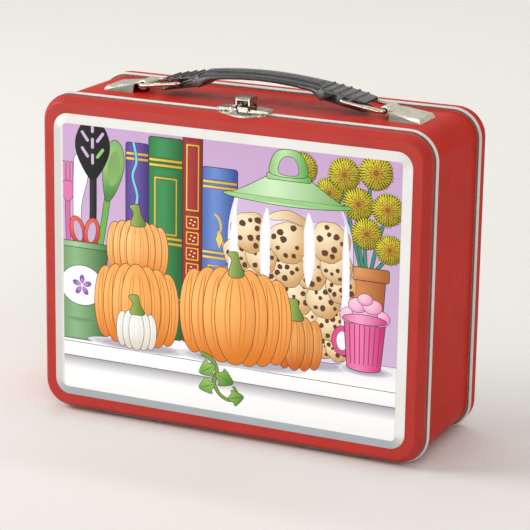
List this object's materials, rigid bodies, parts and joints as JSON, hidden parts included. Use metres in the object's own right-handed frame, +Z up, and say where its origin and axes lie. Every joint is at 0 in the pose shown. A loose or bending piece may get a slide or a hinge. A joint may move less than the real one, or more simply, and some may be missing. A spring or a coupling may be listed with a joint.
{
  "type": "lunch box",
  "caption": "Stamped-metal lunch box: shallow front cover hinged at the bottom, snap latch on top, and a ribbed arched handle on swinging wire links.",
  "frame": {"origin": "on the ground below the middle of the box", "axes": "+X across the width to the right as seen from the front, +Y to the back through the depth, +Z up"},
  "size_m": [0.197, 0.0732, 0.1679],
  "materials": {
    "red_paint": "satin baked enamel",
    "cream_paint": "gloss enamel",
    "white_paint": "gloss enamel",
    "print": "coated printed sheet",
    "nickel": "dull nickel plate",
    "steel": "plain steel",
    "grip": "moulded, slightly glossy"
  },
  "bodies": {
    "box": {"body_band": "red_paint", "front_bead": "cream_paint", "rear_bead": "cream_paint", "rear_shell": "red_paint", "rear_panel": "white_paint", "body_knuckles": "steel", "hinge_pins": "steel", "left_bracket": "nickel", "right_bracket": "nickel", "latch_strike": "nickel", "strike_rivets": "nickel"},
    "cover": {"front_cover": "red_paint", "front_panel": "white_paint", "front_print": "print", "cover_knuckles": "steel", "latch_base": "nickel", "latch_pin": "steel", "latch_spring": "steel", "latch_rivets": "nickel"},
    "lever": {"latch_lever": "nickel"},
    "grip": {"handle_grip": "grip"},
    "left_link": {"left_link": "nickel"},
    "right_link": {"right_link": "nickel"}
  },
  "joints": [
    {"name": "cover_hinge", "type": "hinge", "parent": "box", "child": "cover", "pos_m": [0, -0.027, 0.0012], "axis": [1, 0, 0], "range_deg": [0, 140], "deforming": ["latch_spring"]},
    {"name": "lever_press", "type": "hinge", "parent": "cover", "child": "lever", "pos_m": [0.0047, -0.0253, 0.1577], "axis": [1, 0, 0], "range_deg": [0, 35], "deforming": ["latch_spring"]},
    {"name": "handle_lift", "type": "slide", "parent": "box", "child": "grip", "axis": [0, 0, 1], "range_m": [0, 0.009]},
    {"name": "left_link_swing", "type": "hinge", "parent": "box", "child": "left_link", "pos_m": [-0.0588, 0, 0.1561], "axis": [0, 1, 0], "range_deg": [-28, 0]},
    {"name": "right_link_swing", "type": "hinge", "parent": "box", "child": "right_link", "pos_m": [0.0636, 0, 0.1561], "axis": [0, 1, 0], "range_deg": [0, 28]}
  ],
  "couplings": [
    {"joint": "left_link_swing", "follows": "handle_lift", "rad_per_m": -52.618},
    {"joint": "right_link_swing", "follows": "handle_lift", "rad_per_m": 52.618}
  ]
}
